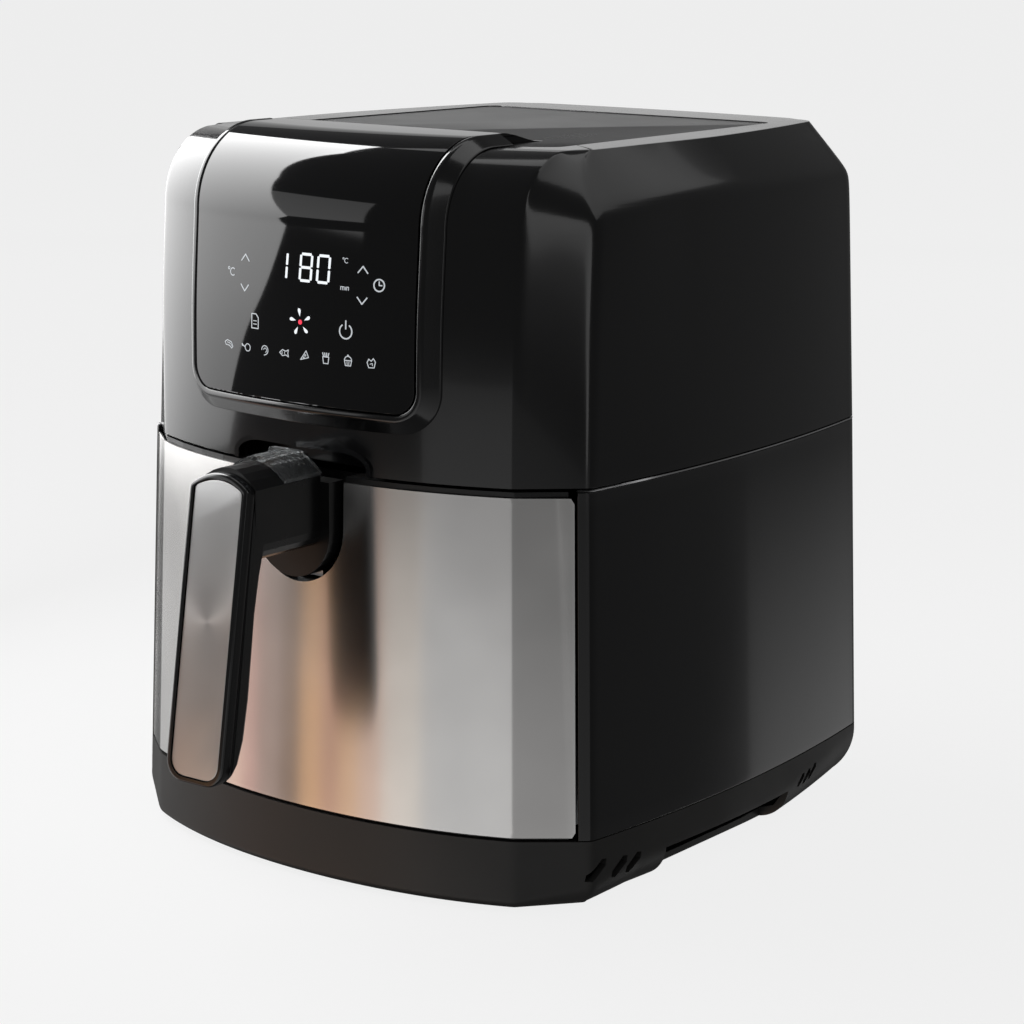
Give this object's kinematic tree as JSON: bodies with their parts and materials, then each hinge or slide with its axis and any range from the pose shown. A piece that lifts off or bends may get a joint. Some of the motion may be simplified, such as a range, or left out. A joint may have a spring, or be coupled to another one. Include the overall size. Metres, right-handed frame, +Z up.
{
  "type": "air fryer",
  "caption": "Upright air fryer: gloss black housing with chamfered top, wrap-over control panel, steel-faced slide-out drawer with basket, drop handle and guarded release button.",
  "frame": {"origin": "bottom centre of the whole object's bounding box, on the surface it stands on", "axes": "+Z up, the front with the handle and the panel faces -Y, +X is to the right seen from the front"},
  "size_m": [0.2716, 0.3499, 0.3264],
  "materials": {
    "gloss_black": "high gloss",
    "panel_black": "mirror gloss",
    "satin_black": "satin",
    "base_grey": "fine matte",
    "brushed_steel": "brushed across",
    "insert_steel": "satin",
    "trim": "satin",
    "nonstick": "non-stick coat",
    "sheet_steel": "mill",
    "heater_steel": "oxidised",
    "aluminium": "pressed",
    "screw_steel": "plated",
    "rubber": "matte",
    "circuit_board": "solder mask",
    "white_plastic": "moulded",
    "motor_copper": "lacquered windings",
    "clear_plastic": "clear, polished"
  },
  "bodies": {
    "housing": {"base_tray": "base_grey", "foot_1": "rubber", "foot_2": "rubber", "foot_3": "rubber", "foot_4": "rubber", "foot_screw_1": "screw_steel", "foot_screw_2": "screw_steel", "foot_screw_3": "screw_steel", "foot_screw_4": "screw_steel", "lower_shell": "gloss_black", "seam_trim": "trim", "upper_shell": "gloss_black", "rear_vent": "satin_black", "cord_gland": "rubber", "control_panel": "panel_black", "panel_bezel": "gloss_black", "display_board": "circuit_board", "power_board": "circuit_board", "drawer_bay": "sheet_steel", "drawer_switch": "white_plastic", "chamber_hood": "sheet_steel", "heater_guard": "sheet_steel", "heating_element": "heater_steel", "temperature_sensor": "screw_steel", "thermal_fuse": "white_plastic", "motor_bracket": "sheet_steel", "motor_body": "motor_copper"},
    "fan_rotor": {"fan_shaft": "screw_steel", "hot_air_fan": "aluminium", "cooling_fan": "white_plastic"},
    "plunger": {"switch_plunger": "white_plastic"},
    "drawer": {"pan": "nonstick", "drawer_front": "satin_black", "steel_front": "brushed_steel", "latch_catch": "screw_steel", "basket": "nonstick", "crisper_tray": "nonstick", "basket_bracket": "screw_steel", "bracket_screw_1": "screw_steel", "bracket_screw_2": "screw_steel", "handle_body": "satin_black", "handle_frame": "gloss_black", "handle_insert": "insert_steel", "latch_pin": "screw_steel", "button_spring": "screw_steel"},
    "guard": {"button_guard": "clear_plastic"},
    "button": {"release_button": "satin_black"},
    "latch": {"latch_lever": "white_plastic"}
  },
  "joints": [
    {"name": "drawer_slide", "type": "slide", "parent": "housing", "child": "drawer", "axis": [0, -1, 0], "range_m": [0, 0.24]},
    {"name": "guard_slide", "type": "slide", "parent": "drawer", "child": "guard", "axis": [0, -1, 0], "range_m": [0, 0.012]},
    {"name": "button_press", "type": "slide", "parent": "drawer", "child": "button", "axis": [0, 0, -1], "range_m": [0, 0.003], "stiffness_N_per_m": 300, "springref_m": -0.002, "deforming": ["button_spring"]},
    {"name": "latch_swing", "type": "hinge", "parent": "drawer", "child": "latch", "pos_m": [0, -0.10585, 0.163], "axis": [1, 0, 0], "range_deg": [0, 17]},
    {"name": "fan_spin", "type": "hinge", "parent": "housing", "child": "fan_rotor", "pos_m": [0, 0.03115, 0.252], "axis": [0, 0, 1], "continuous": true},
    {"name": "plunger_travel", "type": "slide", "parent": "housing", "child": "plunger", "axis": [0, -1, 0], "range_m": [0, 0.0025]}
  ],
  "couplings": [
    {"joint": "latch_swing", "follows": "button_press", "rad_per_m": 96},
    {"joint": "plunger_travel", "follows": "drawer_slide", "ratio": 0.01}
  ]
}
